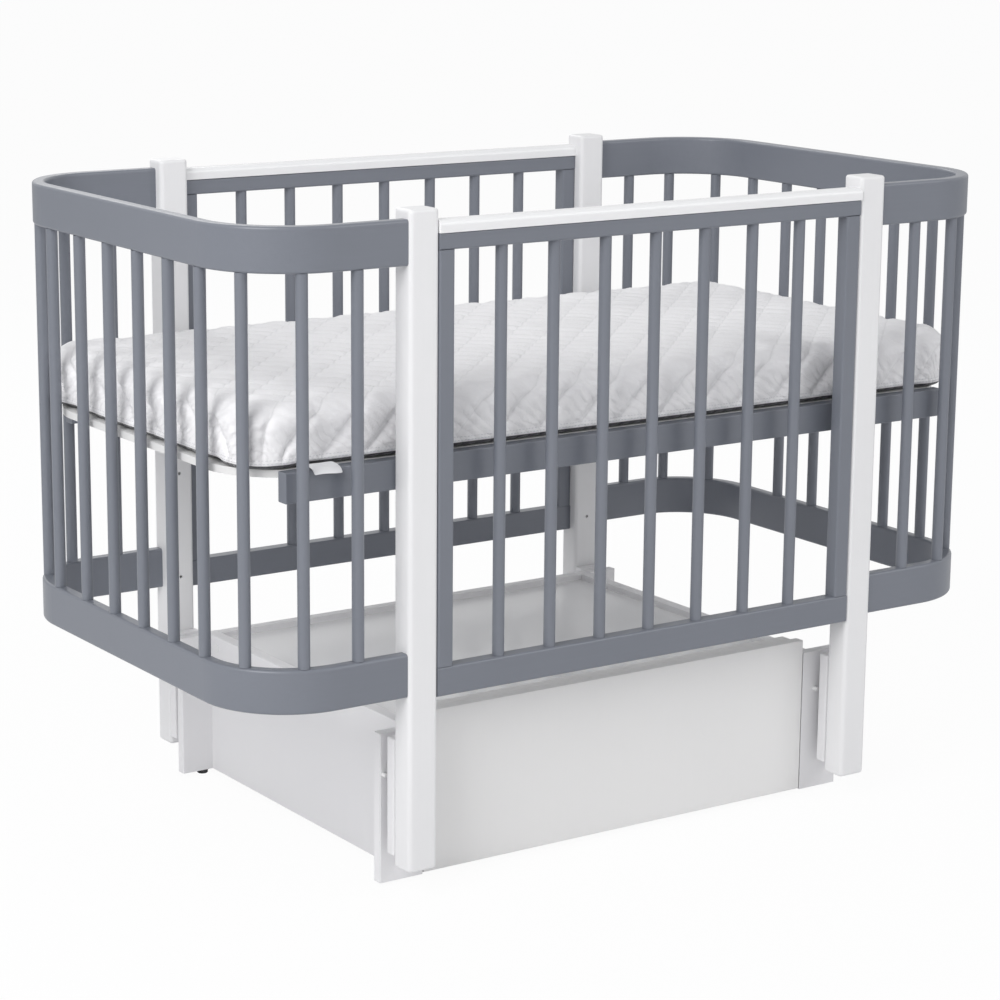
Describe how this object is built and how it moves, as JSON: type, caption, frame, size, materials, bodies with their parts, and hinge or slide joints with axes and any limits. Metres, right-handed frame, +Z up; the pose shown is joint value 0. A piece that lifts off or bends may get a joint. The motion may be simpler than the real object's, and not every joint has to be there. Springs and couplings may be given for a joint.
{
  "type": "crib",
  "caption": "Child's crib with bent spindle ends, swinging lengthwise on four hidden links over a low box with a full-width drawer; mattress on a bolted base.",
  "frame": {"origin": "on the floor, under the middle of the crib", "axes": "+Z up, the drawer opens towards -Y, the length runs along X"},
  "size_m": [1.244, 0.705, 0.9085],
  "materials": {
    "grey_paint": "satin lacquer on beech",
    "white_paint": "satin lacquer on beech",
    "white_board": "white foil on board",
    "gloss_board": "smooth semi-gloss white",
    "drawer_white": "white foil on board",
    "base_white": "white board",
    "white_cap": "smooth white plastic",
    "white_plastic": "smooth white plastic",
    "black_plastic": "moulded black plastic",
    "zinc_steel": "zinc plated",
    "ticking": "quilted knitted cotton"
  },
  "bodies": {
    "box": {"box_back": "white_board", "box_end_left": "white_board", "box_end_right": "white_board", "box_lid": "gloss_board", "box_wing_front_left": "white_board", "box_wing_front_right": "white_board", "box_wing_rear_left": "white_board", "box_wing_rear_right": "white_board", "glides": "black_plastic", "screw_caps": "white_plastic", "runners": "zinc_steel", "upper_pivots": "zinc_steel", "swing_stops": "white_plastic"},
    "link_front_left": {"link_front_left": "zinc_steel"},
    "link_front_right": {"link_front_right": "zinc_steel"},
    "link_rear_left": {"link_rear_left": "zinc_steel"},
    "link_rear_right": {"link_rear_right": "zinc_steel"},
    "crib": {"base_battens": "base_white", "base_board": "base_white", "base_bolts": "zinc_steel", "base_rail_front": "grey_paint", "base_rail_rear": "grey_paint", "frame_dowels": "zinc_steel", "front_bottom_rail": "grey_paint", "front_cap": "white_cap", "front_spindles": "grey_paint", "front_stile_left": "grey_paint", "front_stile_right": "grey_paint", "front_top_rail": "grey_paint", "hanger_front_left": "white_board", "hanger_front_right": "white_board", "hanger_rear_left": "white_board", "hanger_rear_right": "white_board", "left_spindles": "grey_paint", "lower_band_left": "grey_paint", "lower_band_right": "grey_paint", "lower_pivots": "zinc_steel", "post_front_left": "white_paint", "post_front_right": "white_paint", "post_rear_left": "white_paint", "post_rear_right": "white_paint", "rear_bottom_rail": "grey_paint", "rear_cap": "white_cap", "rear_spindles": "grey_paint", "rear_stile_left": "grey_paint", "rear_stile_right": "grey_paint", "rear_top_rail": "grey_paint", "right_spindles": "grey_paint", "upper_band_left": "grey_paint", "upper_band_right": "grey_paint"},
    "drawer": {"drawer_back": "drawer_white", "drawer_floor": "drawer_white", "drawer_front": "drawer_white", "drawer_inner_front": "drawer_white", "drawer_side_left": "drawer_white", "drawer_side_right": "drawer_white", "drawer_slides": "zinc_steel"},
    "mattress": {"mattress": "ticking"}
  },
  "joints": [
    {"name": "swing", "type": "hinge", "parent": "box", "child": "link_front_left", "pos_m": [-0.37, -0.289, 0.182], "axis": [0, 1, 0], "range_deg": [-12, 12]},
    {"name": "swing_front_right", "type": "hinge", "parent": "box", "child": "link_front_right", "pos_m": [0.37, -0.289, 0.182], "axis": [0, 1, 0], "range_deg": [-12, 12]},
    {"name": "swing_rear_left", "type": "hinge", "parent": "box", "child": "link_rear_left", "pos_m": [-0.37, 0.289, 0.182], "axis": [0, 1, 0], "range_deg": [-12, 12]},
    {"name": "swing_rear_right", "type": "hinge", "parent": "box", "child": "link_rear_right", "pos_m": [0.37, 0.289, 0.182], "axis": [0, 1, 0], "range_deg": [-12, 12]},
    {"name": "crib_hang", "type": "hinge", "parent": "link_front_left", "child": "crib", "pos_m": [-0.37, -0.289, 0.082], "axis": [0, 1, 0], "range_deg": [-12, 12]},
    {"name": "drawer_slide", "type": "slide", "parent": "box", "child": "drawer", "axis": [0, -1, 0], "range_m": [0, 0.38]},
    {"name": "mattress_lift", "type": "slide", "parent": "crib", "child": "mattress", "axis": [0, 0, 1], "range_m": [0, 0.32]}
  ],
  "couplings": [
    {"joint": "swing_front_right", "follows": "swing", "ratio": 1},
    {"joint": "swing_rear_left", "follows": "swing", "ratio": 1},
    {"joint": "swing_rear_right", "follows": "swing", "ratio": 1},
    {"joint": "crib_hang", "follows": "swing", "ratio": -1}
  ]
}
